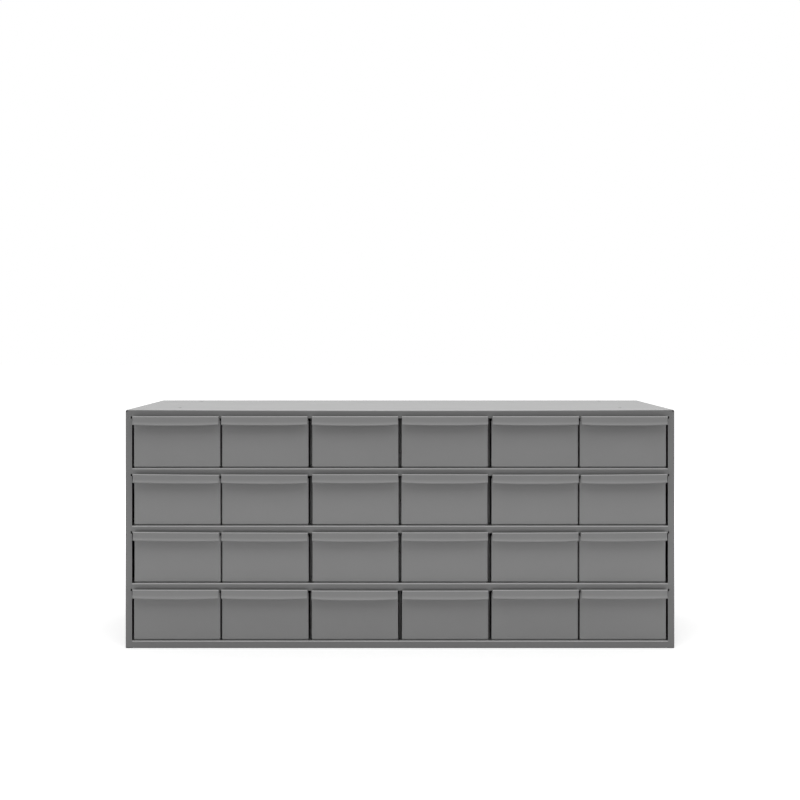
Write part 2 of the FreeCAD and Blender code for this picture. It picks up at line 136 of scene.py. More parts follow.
# A fold line is the middle line of a folded section: its points, the normals to their right, and the
# zone that follows each point: 0 the first run, 1 the first bend, 2 the next run and so on.
def foldLine(corners, side, sheet, bends, spacing, cuts=(), steps=5):
    # corners lie on one face of the sheet, which is to their left (side 1), right (-1) or middle (0);
    # bends holds the inside radius of every fold, or one radius for them all
    if not isinstance(bends, list):
        bends = [bends] * (len(corners) - 2)
    corners = [Vector(corner) for corner in corners]
    ways = [(b - a).normalized() for a, b in zip(corners, corners[1:])]
    half = side * sheet / 2
    middle = [corners[0] + turned(ways[0], math.pi / 2) * half]
    for corner, before, after in zip(corners[1:], ways, ways[1:]):
        lefts = turned(before, math.pi / 2) + turned(after, math.pi / 2)
        middle.append(corner + lefts * (half / (1 + before.dot(after))))
    middle.append(corners[-1] + turned(ways[-1], math.pi / 2) * half)
    points, normals, zones = [], [], []
    start = middle[0]
    for run, way in enumerate(ways):
        radius = bends[min(run, len(bends) - 1)] + sheet / 2
        right = turned(way, -math.pi / 2)
        end = middle[run + 1]
        turn = 0.0
        if run + 1 < len(ways):
            after = ways[run + 1]
            turn = math.atan2(way.x * after.y - way.y * after.x, way.dot(after))
            end = end - way * (radius * math.tan(abs(turn) / 2))
        length = (end - start).length
        marks = {0.0, length}
        for axis, value in cuts:
            if abs(way[axis]) > 0.5:
                reached = (value - start[axis]) / way[axis]
                if shortestCell < reached < length - shortestCell:
                    marks.add(reached)
        marks = sorted(marks)
        for low, high in zip(marks, marks[1:]):
            parts = max(1, round((high - low) / spacing))
            for part in range(parts):
                points.append(start + way * (low + (high - low) * part / parts))
                normals.append(right)
                zones.append(2 * run)
        if run + 1 == len(ways):
            points.append(end)
            normals.append(right)
            zones.append(2 * run)
            break
        inner = turned(way, math.copysign(math.pi / 2, turn))
        for step in range(steps):
            angle = turn * step / steps
            points.append(end + inner * radius - turned(inner, angle) * radius)
            normals.append(turned(right, angle))
            zones.append(2 * run + 1)
        start = end + inner * radius - turned(inner, turn) * radius
    return {"points": points, "normals": normals, "zones": zones}


# The blank: a grid of section by reach, with the cells that the shears take away left out. The reach
# line gives the place along the third axis, and how far the sheet has turned inward there. Settle
# moves each place as thin sheet settles, and the function after it gives each place's painted
# highlight, from 0 to 1.
def foldedSheet(name, section, reach, reachAxis, keep, settle, lightened, sheet, enamel, holes=(),
                shift=(0, 0, 0)):
    blank = bmesh.new()
    highlightLayer = blank.verts.layers.float.new("foldHighlightAndWeldTone")
    grid, mark = {}, 1.0

    def corner(i, j):
        if (i, j) not in grid:
            along = reach["points"][j]
            a, b = section["points"][i] + section["normals"][i] * along.y
            place = (along.x, a, b) if reachAxis == "x" else (a, along.x, b)
            zones = section["zones"][i], reach["zones"][j]
            grid[i, j] = blank.verts.new((settle(Vector(place), *zones) + Vector(shift)) * mm)
            grid[i, j][highlightLayer] = lightened(*zones)
        return grid[i, j]

    for i in range(len(section["points"]) - 1):
        p = (section["points"][i] + section["points"][i + 1]) / 2
        for j in range(len(reach["points"]) - 1):
            q = (reach["points"][j] + reach["points"][j + 1]) / 2
            if not keep(section["zones"][i], reach["zones"][j], p, q):
                continue
            cell = [corner(i, j), corner(i + 1, j), corner(i + 1, j + 1), corner(i, j + 1)]
            if any((p - Vector(spot[0])).length < mark and abs(q.x - spot[1]) < mark
                   for spot in holes):
                punchHole(blank, cell, holes[0][2])
            else:
                blank.faces.new(cell)
    mesh = bpy.data.meshes.new(name)
    blank.to_mesh(mesh)
    blank.free()
    piece = bpy.data.objects.new(name, mesh)
    bpy.context.scene.collection.objects.link(piece)
    mesh.materials.append(enamel)
    wall = piece.modifiers.new("wall", "SOLIDIFY")
    wall.thickness = sheet * mm
    wall.offset = 0
    wall.use_even_offset = True
    return flattened(piece)


holeSides = 24  # a multiple of four


def punchHole(blank, cell, diameter):
    # the cell becomes four faces, each between one of its edges and a quarter of the rim
    middle = sum((vertex.co for vertex in cell), Vector()) / 4
    first, second = cell[1].co - cell[0].co, cell[3].co - cell[0].co
    rim = []
    for step in range(holeSides):
        angle = math.radians(225) + math.tau * step / holeSides
        way = first.normalized() * math.cos(angle) + second.normalized() * math.sin(angle)
        rim.append(blank.verts.new(middle + way * (diameter / 2 * mm)))
    quarter = holeSides // 4
    for side in range(4):
        arc = [rim[(quarter * side + step) % holeSides] for step in range(quarter + 1)]
        blank.faces.new([cell[side], cell[(side + 1) % 4]] + arc[::-1])


def flattened(piece):
    # the modifiers' result as a plain mesh, faces outward, with hard edges where the sheet is cut,
    # that is, where two faces meet at more than 40 degrees
    evaluated = piece.evaluated_get(bpy.context.evaluated_depsgraph_get())
    plain = bpy.data.meshes.new_from_object(evaluated)
    piece.modifiers.clear()
    old = piece.data
    piece.data = plain
    bpy.data.meshes.remove(old)
    plain.name = piece.name
    shell = bmesh.new()
    shell.from_mesh(plain)
    if shell.calc_volume(signed=True) < 0:
        bmesh.ops.reverse_faces(shell, faces=shell.faces[:])
    shell.to_mesh(plain)
    shell.free()
    plain.shade_smooth()
    plain.set_sharp_from_angle(angle=math.radians(40))
    return piece


def finish(piece, body, nodes, slot):
    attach(piece, body)
    if nodes:
        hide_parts(*nodes)


def within(share):
    return min(max(share, 0), 1)


def uneven(x, z, seed, size):
    # a smooth waviness of thin sheet, between about -1 and 1, that differs from seed to seed
    return noise.noise(Vector((x / size, z / size, seed * 7.31)))


# Geometry Nodes trees: opened with named inputs, and closed with real faces in one material.
def newTree(name, sizes):
    tree = bpy.data.node_groups.new(name, "GeometryNodeTree")
    for label, kind in {"Geometry": "Geometry", **sizes}.items():
        tree.interface.new_socket(label, in_out="INPUT", socket_type="NodeSocket" + kind)
    tree.interface.new_socket("Geometry", in_out="OUTPUT", socket_type="NodeSocketGeometry")
    return tree, addNode(tree, "NodeGroupInput").outputs


def closeTree(tree, instances, material):
    real = addNode(tree, "GeometryNodeRealizeInstances", {"Geometry": instances})
    painted = addNode(tree, "GeometryNodeSetMaterial", {"Geometry": real.outputs["Geometry"],
                                                        "Material": material})
    addNode(tree, "NodeGroupOutput", {"Geometry": painted.outputs["Geometry"]})


def grown(name, mesh, tree, sizes):
    piece = bpy.data.objects.new(name, mesh)
    bpy.context.scene.collection.objects.link(piece)
    modifier = piece.modifiers.new(tree.name, "NODES")
    modifier.node_group = tree
    for socket in tree.interface.items_tree:
        if socket.name in sizes:
            modifier[socket.identifier] = sizes[socket.name]
    return flattened(piece)


# The mark that a spot welder's tip leaves: a low ring pressed up round a shallow dish.
weld = {
    "diameter": 5.5, "rise": 0.14, "sides": 16, "inset": 0.03, "lightened": 0.35,
    # shares: the ring's radius of the diameter, the dish's depth of the rise, its width of the ring's
    "rim": 0.42, "dish": -0.7, "dishWidth": 0.6,
    # the sizes of the marks differ between these shares
    "smallest": 0.88, "largest": 1.08,
}


def weldTree(name, material):
    tree, sizes = newTree(name, {"Diameter": "Float", "Rise": "Float", "Sides": "Int", "Seed": "Int",
                                 "Worn": "Float"})
    foot = addNode(tree, "ShaderNodeMath", {0: sizes["Diameter"], 1: 0.5}, operation="MULTIPLY")
    rim = addNode(tree, "ShaderNodeMath", {0: sizes["Diameter"], 1: weld["rim"]}, operation="MULTIPLY")
    dish = addNode(tree, "ShaderNodeMath", {0: sizes["Rise"], 1: weld["dish"]}, operation="MULTIPLY")
    sink = addNode(tree, "ShaderNodeCombineXYZ", {"Z": dish.outputs[0]})
    button = addNode(tree, "GeometryNodeMeshCone", {
        "Vertices": sizes["Sides"], "Radius Top": rim.outputs[0], "Radius Bottom": foot.outputs[0],
        "Depth": sizes["Rise"]})
    ring = addNode(tree, "GeometryNodeExtrudeMesh", {
        "Mesh": button.outputs["Mesh"], "Selection": button.outputs["Top"], "Offset Scale": 0.0})
    inner = addNode(tree, "GeometryNodeScaleElements", {
        "Geometry": ring.outputs["Mesh"], "Selection": ring.outputs["Top"],
        "Scale": weld["dishWidth"]})
    pressed = addNode(tree, "GeometryNodeSetPosition", {
        "Geometry": inner.outputs["Geometry"], "Selection": ring.outputs["Top"],
        "Offset": sink.outputs["Vector"]})
    facing = addNode(tree, "GeometryNodeInputNamedAttribute", {"Name": "facing"},
                     data_type="FLOAT_VECTOR")
    turn = addNode(tree, "FunctionNodeAlignRotationToVector", {"Vector": facing.outputs["Attribute"]},
                   axis="Z")
    spread = addNode(tree, "FunctionNodeRandomValue", {
        2: weld["smallest"], 3: weld["largest"], "Seed": sizes["Seed"]}, data_type="FLOAT")
    marks = addNode(tree, "GeometryNodeInstanceOnPoints", {
        "Points": sizes["Geometry"], "Instance": pressed.outputs["Geometry"],
        "Rotation": turn.outputs["Rotation"], "Scale": spread.outputs[1]})
    # the coat is a little thinner on the marks
    thinned = addNode(tree, "GeometryNodeStoreNamedAttribute", {
        "Geometry": marks.outputs["Instances"], "Name": "foldHighlightAndWeldTone", "Value": sizes["Worn"]},
        domain="INSTANCE")
    closeTree(tree, thinned.outputs["Geometry"], material)
    return tree


cabinetWelds = weldTree("cabinetWelds", cabinetEnamel)
drawerWelds = weldTree("drawerWelds", drawerEnamel)


def markWelds(name, tree, body, slot, seed, spots):
    # each spot is a welded sheet and a place beside the mark on it, in millimetres
    mesh = bpy.data.meshes.new(name)
    places, normals = [], []
    for sheet, spot in spots:
        _, place, normal, _ = sheet.closest_point_on_mesh(Vector(spot) * mm)
        places.append(place - normal * (weld["inset"] * mm))
        normals.append(normal)
    mesh.from_pydata(places, [], [])
    facing = mesh.attributes.new("facing", "FLOAT_VECTOR", "POINT")
    facing.data.foreach_set("vector", [part for normal in normals for part in normal])
    piece = grown(name, mesh, tree, {"Diameter": weld["diameter"] * mm, "Rise": weld["rise"] * mm,
                                     "Sides": weld["sides"], "Seed": seed, "Worn": weld["lightened"]})
    finish(piece, body, [], slot)


# The wrapper: the top and the sides in one sheet, with flanges and a rail turned in round the front.
wrapper = {
    "frontBend": 0.3, "cornerBend": 2.2, "inset": 0.15, "topInset": 0.01, "topRail": 13.4,
    "notchWidth": 2.0, "notchAbove": 3.0, "notchBelow": 0.6, "seamSlit": 0.15, "frontHighlight": 0.6,
    "hole": 6.4, "holeSpacing": 708.0, "holeFront": 59.0, "holeRear": 27.3, "holeRoom": 7,
    "acrossCell": 30, "alongCell": 24,
    # how the top and its rail sag, and how the sides dish in
    "topSag": 1.3, "rearSag": 0.6, "sagStart": 2, "sagRun": 13, "railFade": 9, "sideStrip": 3,
    "ripple": 0.12, "rippleSize": 160, "dish": 0.5,
}


def makeWrapper():
    half, high, sheet = cabinet["width"] / 2, cabinet["height"], cabinet["sheet"]
    depth, flange = cabinet["depth"], cabinet["sideFlange"]
    edges = [cabinet["baseRail"] + row * rowPitch + cabinet["openingHeight"]
             for row in range(cabinet["rows"])]
    notches = [(edge - wrapper["notchBelow"], edge + wrapper["notchAbove"]) for edge in edges]
    railEnd = half - flange - wrapper["seamSlit"]
    across, room = wrapper["holeSpacing"] / 2, wrapper["holeRoom"]
    backs = [wrapper["holeFront"], depth - wrapper["holeRear"]]
    cuts = [(1, value) for pair in notches for value in pair]
    cuts += [(0, side * value) for side in (-1, 1) for value in (railEnd, across - room, across + room)]
    edge, top = half - wrapper["inset"], high - wrapper["topInset"]
    section = foldLine([(-edge + cabinet["baseReturn"], 0), (-edge, 0), (-edge, top), (edge, top),
                        (edge, 0), (edge - cabinet["baseReturn"], 0)], -1, sheet,
                       [cabinet["bend"], wrapper["cornerBend"], wrapper["cornerBend"], cabinet["bend"]],
                       wrapper["acrossCell"], cuts)
    flangeEnd, notchEnd = flange - sheet / 2, flange - wrapper["notchWidth"] - sheet / 2
    # the rail's ears reach over the side flanges as far as the round corner, which is left open
    earEnd = wrapper["cornerBend"] + sheet / 2 - wrapper["seamSlit"]
    ends = [flangeEnd, notchEnd, earEnd, wrapper["frontBend"] + sheet]
    reach = foldLine([(depth, 0), (sheet / 2, 0), (sheet / 2, wrapper["topRail"] - sheet / 2)],
                     0, sheet, wrapper["frontBend"], wrapper["alongCell"],
                     [(0, back + side) for back in backs for side in (-room, room)]
                     + [(1, end) for end in ends])

    def keep(zone, depthZone, p, q):
        if depthZone == 0:
            return True
        if zone == 4:
            return depthZone == 1 or q.y < earEnd or abs(p.x) < railEnd
        if zone not in (2, 6) or (depthZone == 2 and q.y > flangeEnd):
            return False
        return q.y < notchEnd or not any(low < p.y < top for low, top in notches)

    def settle(place, zone, depthZone):
        x, y, z = place
        bow = 1 - (x / half) ** 2
        railFoot, inner = high - wrapper["topRail"], half - wrapper["sideStrip"]
        if z > railFoot and abs(x) < inner:
            behind = within((y - wrapper["sagStart"]) / wrapper["sagRun"])
            low = within((z - railFoot) / wrapper["railFade"])
            fall = wrapper["topSag"] * (1 - behind) + wrapper["rearSag"] * behind * (1 - y / depth)
            ripple = wrapper["ripple"] * (1 + uneven(x, y, 3, wrapper["rippleSize"]))
            place.z -= fall * bow * low + ripple * behind
        elif abs(x) > inner:
            upright = 1 - (2 * z / high - 1) ** 2
            deep = 4 * (y / depth) * (1 - y / depth)
            place.x -= math.copysign(wrapper["dish"] * upright * max(deep, 0), x)
        return place

    holes = [((side * across, high - sheet / 2), back, wrapper["hole"])
             for side in (-1, 1) for back in backs]
    # the fold along the top of the front is painted lighter, a painted highlight
    piece = foldedSheet("wrapperSheet", section, reach, "y", keep, settle,
                        lambda zone, depthZone: wrapper["frontHighlight"] * (zone == 4 and depthZone == 1),
                        sheet, cabinetEnamel, holes, (0, cabinet["front"], 0))
    finish(piece, "cabinet", ["cabinet_wrapper"], "cabinet_paint")
    return piece


# The shelves and the bottom: plates with a rail folded down in front and flanges behind and beside.
def plateKeep(bendZones, slotZones, rearStart):
    # which cells of a plate with a rail in front stay: none beside the rail, none in the slots
    sideStart = outerBend + cabinet["play"]

    def keep(zone, acrossZone, p, q):
        if zone in bendZones and (acrossZone != 2 or abs(q.x) > railHalf):
            return False
        if zone == rearStart - 1 and p.x < sideStart and (acrossZone != 2 or abs(q.x) > railHalf):
            return False
        behind = zone >= rearStart or (zone == rearStart - 1 and p.x > shelf["lap"])
        if zone >= rearStart and (acrossZone != 2 or abs(q.x) > railHalf):
            return False
        return not (slotZones and behind and any(abs(q.x - at) < shelf["slot"] / 2
                                                 for at in partitionPlaces))
    return keep


shelf = {"lap": (cabinet["lapFront"] + innerRear) / 2, "slot": cabinet["sheet"] + 0.4, "sag": 0.25,
         "rippleSize": 120, "cell": 36}


def acrossLine(flange, cuts=()):
    edge = insideWidth / 2 - cabinet["sheet"] / 2
    turnedIn = flange - cabinet["sheet"] / 2
    return foldLine([(-edge, turnedIn), (-edge, 0), (edge, 0), (edge, turnedIn)], 0,
                    cabinet["sheet"], cabinet["bend"], shelf["cell"], cuts)


def makeShelf(number):
    up = cabinet["baseRail"] + (cabinet["rows"] - number) * rowPitch
    section = foldLine([(0, -cabinet["shelfRail"]), (0, 0), (innerRear, 0),
                        (innerRear, -cabinet["shelfFlange"])], -1, cabinet["sheet"], cabinet["bend"],
                       shelf["cell"], [(0, outerBend + cabinet["play"]), (0, shelf["lap"]),
                                       (1, -outerBend - cabinet["play"])])
    cuts = [(0, side * railHalf) for side in (-1, 1)]
    cuts += [(0, at + side * shelf["slot"] / 2) for at in partitionPlaces for side in (-1, 1)]
    reach = acrossLine(cabinet["shelfFlange"], cuts)

    def settle(place, zone, acrossZone):
        middle = max(0, 1 - (2 * place.y / innerRear - 1) ** 2)
        ripple = uneven(place.x, place.y, number, shelf["rippleSize"])
        place.z -= shelf["sag"] * middle * (1 + ripple) / 2
        return place

    # the fold at the top of the rail is painted lighter, a painted highlight
    piece = foldedSheet(f"shelfSheet_{number}", section, reach, "x", plateKeep((0, 1), True, 3),
                        settle, lambda zone, acrossZone: float(zone == 1), cabinet["sheet"],
                        cabinetEnamel, shift=(0, cabinet["front"], up))
    finish(piece, "cabinet", [f"shelf_{number}"], "cabinet_paint")


def makeBottom():
    rail = cabinet["baseRail"]
    section = foldLine([(cabinet["baseReturn"], 0), (0, 0), (0, rail), (innerRear, rail),
                        (innerRear, rail - cabinet["shelfFlange"])], -1, cabinet["sheet"],
                       cabinet["bend"], shelf["cell"], [(0, outerBend + cabinet["play"]),
                                                        (1, rail - outerBend - cabinet["play"])])
    returnEnd = cabinet["width"] / 2 - cabinet["baseReturn"] - cabinet["cornerSlit"]
    reach = acrossLine(cabinet["shelfFlange"],
                       [(0, side * at) for side in (-1, 1) for at in (railHalf, returnEnd)])
    plate = plateKeep((1, 2, 3), False, 5)

    def keep(zone, acrossZone, p, q):
        if zone == 0 or (zone == 1 and p.y < cabinet["cornerSlit"]):
            return acrossZone == 2 and abs(q.x) < returnEnd
        return plate(zone, acrossZone, p, q)

    # the fold at the top of the base rail is painted lighter, a painted highlight
    piece = foldedSheet("bottomSheet", section, reach, "x", keep, lambda place, *zones: place,
                        lambda zone, acrossZone: float(zone == 3), cabinet["sheet"], cabinetEnamel,
                        shift=(0, cabinet["front"], 0))
    finish(piece, "cabinet", ["cabinet_bottom"], "cabinet_paint")


# The back: one pan with flanges all round, dished a little inward.
backPan = {"dish": 1.0, "wave": 0.35, "waveSize": 130, "cell": 30}


def makeBack():
    low = cabinet["sheet"] + cabinet["play"]
    high, depth = cabinet["height"] - low, cabinet["depth"]
    front = depth - cabinet["backFlange"]
    section = foldLine([(front, high), (depth, high), (depth, low), (front, low)], -1,
                       cabinet["sheet"], cabinet["bend"], backPan["cell"])
    reach = acrossLine(cabinet["backFlange"])

    def settle(place, zone, acrossZone):
        x, y, z = place
        across, upright = 1 - (2 * x / insideWidth) ** 2, 1 - (2 * z / cabinet["height"] - 1) ** 2
        wave = backPan["wave"] * uneven(x, z, 5, backPan["waveSize"])
        place.y -= max(0, across) * max(0, upright) * (backPan["dish"] + wave)
        return place

    piece = foldedSheet("backSheet", section, reach, "x",
                        lambda zone, acrossZone, p, q: zone == 2 or acrossZone == 2, settle,
                        lambda *zones: 0.0, cabinet["sheet"], cabinetEnamel,
                        shift=(0, cabinet["front"], 0))
    finish(piece, "cabinet", ["cabinet_back"], "cabinet_paint")
    return piece


# The partitions: one outline with slots for the shelves, filled, thickened and set out at the pitch.
# They start further back than the solids do, because no edge of them shows in the gaps.
partition = {"recess": 9.0, "slotPlay": 0.2, "corner": 1.0, "topGap": 1.0}


def partitionTree():
    tree, sizes = newTree("partitionRow", {"Thickness": "Float", "Corner": "Float", "Count": "Int",
                                           "Pitch": "Float", "First": "Vector"})
    outline = addNode(tree, "GeometryNodeMeshToCurve", {"Mesh": sizes["Geometry"]})
    rounded = addNode(tree, "GeometryNodeFilletCurve", {
        "Curve": outline.outputs["Curve"], "Radius": sizes["Corner"], "Limit Radius": True, "Count": 3},
        mode="POLY")
    face = addNode(tree, "GeometryNodeFillCurve", {"Curve": rounded.outputs["Curve"]}, mode="NGONS")
    raised = addNode(tree, "GeometryNodeExtrudeMesh", {
        "Mesh": face.outputs["Mesh"], "Offset Scale": sizes["Thickness"], "Individual": False})
    under = addNode(tree, "GeometryNodeFlipFaces", {"Mesh": face.outputs["Mesh"]})
    both = addNode(tree, "GeometryNodeJoinGeometry")
    for part in (under, raised):
        tree.links.new(part.outputs["Mesh"], both.inputs["Geometry"])
    plate = addNode(tree, "GeometryNodeMergeByDistance", {
        "Geometry": both.outputs["Geometry"], "Distance": 1e-6})
    upright = addNode(tree, "GeometryNodeTransform", {
        "Geometry": plate.outputs["Geometry"], "Rotation": Euler((math.pi / 2, 0, math.pi / 2))})
    step = addNode(tree, "ShaderNodeCombineXYZ", {"X": sizes["Pitch"]})
    row = addNode(tree, "GeometryNodeMeshLine", {
        "Count": sizes["Count"], "Start Location": sizes["First"], "Offset": step.outputs["Vector"]},
        mode="OFFSET")
    plates = addNode(tree, "GeometryNodeInstanceOnPoints", {
        "Points": row.outputs["Mesh"], "Instance": upright.outputs["Geometry"]})
    closeTree(tree, plates.outputs["Instances"], cabinetEnamel)
    return tree


def makePartitions():
    front, play, sheet = partition["recess"], partition["slotPlay"], cabinet["sheet"]
    low, high = cabinet["baseRail"] + cabinet["play"], cabinet["height"] - sheet - cabinet["play"]
    high -= partition["topGap"]
    corners = [(front, low), (innerRear, low), (innerRear, high), (front, high)]
    for row in range(cabinet["rows"] - 1, 0, -1):
        top = cabinet["baseRail"] + row * rowPitch
        corners += [(front, top + play), (shelf["lap"], top + play), (shelf["lap"], top - sheet - play),
                    (front, top - sheet - play)]
    mesh = bpy.data.meshes.new("partitionRow")
    mesh.from_pydata([(y * mm, z * mm, 0) for y, z in corners],
                     [(i, (i + 1) % len(corners)) for i in range(len(corners))], [])
    count = len(partitionPlaces)
    first = ((partitionPlaces[0] - sheet / 2) * mm, cabinet["front"] * mm, 0)
    piece = grown("partitionRow", mesh, partitionTree(), {
        "Thickness": sheet * mm, "Corner": partition["corner"] * mm, "Count": count,
        "Pitch": columnPitch * mm, "First": first})
    finish(piece, "cabinet", [f"partition_{number + 1}" for number in range(count)], "cabinet_paint")


weldPlaces = {
    # along each side at every shelf, up its rear edge, and up the back at every partition
    "sideStart": 24, "sidePitch": 46, "sideCount": 6,
    "rearEdge": 7, "rearLevels": (36, 92, 148, 204, 260, 316), "backLevels": (46, 130, 214, 298),
}


def cabinetSpots(sheet, back):
    # the shelves, the bottom and the back are welded to the sides, and the partitions to the back
    half, depth, front, beside = cabinet["width"] / 2, cabinet["depth"], cabinet["front"], 5
    levels = [cabinet["baseRail"] + row * rowPitch - cabinet["shelfFlange"] / 2
              for row in range(cabinet["rows"])]
    spots = []
    for side in (-1, 1):
        for level in levels:
            for step in range(weldPlaces["sideCount"]):
                along = front + weldPlaces["sideStart"] + step * weldPlaces["sidePitch"]
                spots.append((sheet, (side * (half + beside), along, level)))
        rear = front + depth - weldPlaces["rearEdge"]
        for level in weldPlaces["rearLevels"]:
            spots.append((sheet, (side * (half + beside), rear, level)))
    for across in partitionPlaces:
        for level in weldPlaces["backLevels"]:
            spots.append((back, (across, front + depth + beside, level)))
    return spots


wrapperSheet = makeWrapper()
for number in range(1, cabinet["rows"]):
    makeShelf(number)
makeBottom()
backSheet = makeBack()
makePartitions()
markWelds("cabinetWelds", cabinetWelds, "cabinet", "cabinet_paint", 4,
          cabinetSpots(wrapperSheet, backSheet))
print("cabinet folded and welded")


# The drawers: a front with its hood in one sheet, and a box of floor, sides and back in another.
drawer = {
    # the box, then the front with its hood
    "gap": 4.2, "sheet": 0.7, "bend": 0.9, "sideHeight": 69.85, "backHeight": 83.0, "rear": 286.75,
    "ride": 0.3, "tab": 8.0, "setback": 1.0, "sideFlange": 12.0, "floorFlange": 11.0,
    "shoulder": 74.1, "relief": 0.6, "footBend": 0.3, "hoodReach": 15.2, "hoodGap": 0.35,
    "hoodInset": 0.9, "crestForward": 11.6, "crestRise": 4.4, "crestFold": 2.6, "lipDrop": 7.6,
    "curl": 1.3, "crestHighlight": 1.0, "curlHighlight": 0.3, "hoodCell": 7, "acrossCell": 11, "boxCell": 22,
    # how the face bulges over its half width and height, and waves
    "halfFace": 66, "faceMiddle": 38.0, "faceReach": 36, "faceDish": -0.6, "sideDraw": 0.1,
    "wave": 0.12, "waveSize": 34,
    # how far the foot stands off and the hood hangs, and the heights over which they fade out
    "footLift": 0.9, "footStart": 2, "footRun": 12, "hangStart": 45, "hangRun": 30,
    # how the lip bows down in the middle and waves, below the crest
    "lipBow": 1.3, "lipWave": 0.2, "lipWaveSize": 50, "bowTop": 83, "bowRun": 13,
    # how the sides of the box dish in
    "sideDish": 0.4, "dishLength": 287, "dishHeight": 70,
    # where the weld marks are: on the front's flanges, and on the tabs at the rear of the box
    "flangeWeld": 8, "flangeLevels": (14, 36, 58), "tabWeld": 7, "tabLevels": (20, 52),
    # how far the left and the right end of each hood hang down, in columns 1 to 3 of each row;
    # columns 6 to 4 are their mirror image
    "hang": [[(0.0, 0.0), (0.0, 0.0), (0.0, 0.0)], [(0.0, 1.1), (0.6, 0.9), (0.3, 0.1)],
             [(0.0, 1.0), (0.8, 1.3), (0.5, 0.7)], [(0.0, 0.2), (0.1, 0.3), (1.3, 1.5)]],
    # how far each drawer stands to the right of its cell's middle
    "lean": [[0.4, -1.2, -0.1, 0.1, 1.2, -0.4], [0.9, -1.2, 0.3, -0.3, 1.2, -0.9],
             [1.2, -0.9, 0.2, -0.2, 0.9, -1.2], [0.5, -1.2, -0.6, 0.6, 1.2, -0.5]],
}
drawerWidth = columnPitch - drawer["gap"]
drawerOuterBend = drawer["bend"] + drawer["sheet"]
# the hood has no folds at its ends, so it is nearly as wide as the drawer
hoodSpread = (drawerWidth / 2 - drawer["hoodInset"]) / (drawerWidth / 2 - drawerOuterBend)


def frontLines():
    sheet, rear = drawer["sheet"], drawer["setback"] + drawer["sheet"]
    floor = drawer["ride"] + 2 * sheet
    top, hoodGap = cabinet["openingHeight"], drawer["hoodGap"]
    slope = (drawer["crestRise"] + hoodGap) / drawer["crestForward"]
    curlUp = top - drawer["lipDrop"]
    low = drawer["ride"] + drawerOuterBend + cabinet["play"]
    section = foldLine([
        (drawer["setback"] + drawer["floorFlange"], floor), (rear, floor),
        (rear, top - hoodGap - rear * slope), (-drawer["crestForward"], top + drawer["crestRise"]),
        (-drawer["hoodReach"] + drawer["curl"], curlUp),
        (-drawer["hoodReach"], curlUp - drawer["curl"]),
    ], 1, sheet, [drawer["footBend"], drawer["bend"], drawer["bend"], drawer["bend"]],
        drawer["hoodCell"],
        [(1, low), (1, drawer["shoulder"]), (1, drawer["shoulder"] + drawer["relief"]),
         (1, top + drawer["crestRise"] - drawer["crestFold"])])
    edge = (drawerWidth - sheet) / 2
    turnedBack = drawer["sideFlange"] - sheet / 2
    floorEnd = drawerWidth / 2 - drawerOuterBend - sheet - cabinet["play"]
    reach = foldLine([(-edge, turnedBack), (-edge, 0), (edge, 0), (edge, turnedBack)], 0, sheet,
                     drawer["bend"], drawer["acrossCell"],
                     [(0, side * floorEnd) for side in (-1, 1)])

    def keep(zone, acrossZone, p, q):
        if zone == 2 and low < p.y < drawer["shoulder"]:
            return True
        return acrossZone == 2 and (zone > 1 and p.y > low or abs(q.x) < floorEnd)

    return section, reach, keep


def boxLines():
    sheet, ride = drawer["sheet"], drawer["ride"]
    half = drawerWidth / 2 - sheet
    section = foldLine([(half, drawer["sideHeight"]), (half, ride), (-half, ride),
                        (-half, drawer["sideHeight"])], -1, sheet, drawer["bend"],
                       drawer["boxCell"])
    back = drawer["rear"] - sheet / 2
    tabEnd = drawerOuterBend + drawer["tab"] - sheet / 2
    reach = foldLine([(drawer["setback"] + drawerOuterBend, 0), (back, 0),
                      (back, drawer["backHeight"] - ride - sheet / 2)], 0, sheet, drawer["bend"],
                     drawer["boxCell"], [(1, tabEnd)])

    def keep(zone, depthZone, p, q):
        if depthZone == 0 or zone == 2:
            return True
        return zone in (0, 4) and q.y < tabEnd

    return section, reach, keep


# the crest of the hood and the curl of its lip are painted lighter, a painted highlight
highlightZones = {5: drawer["crestHighlight"], 7: drawer["curlHighlight"]}
frontSection, frontReach, frontKeep = frontLines()
boxSection, boxReach, boxKeep = boxLines()


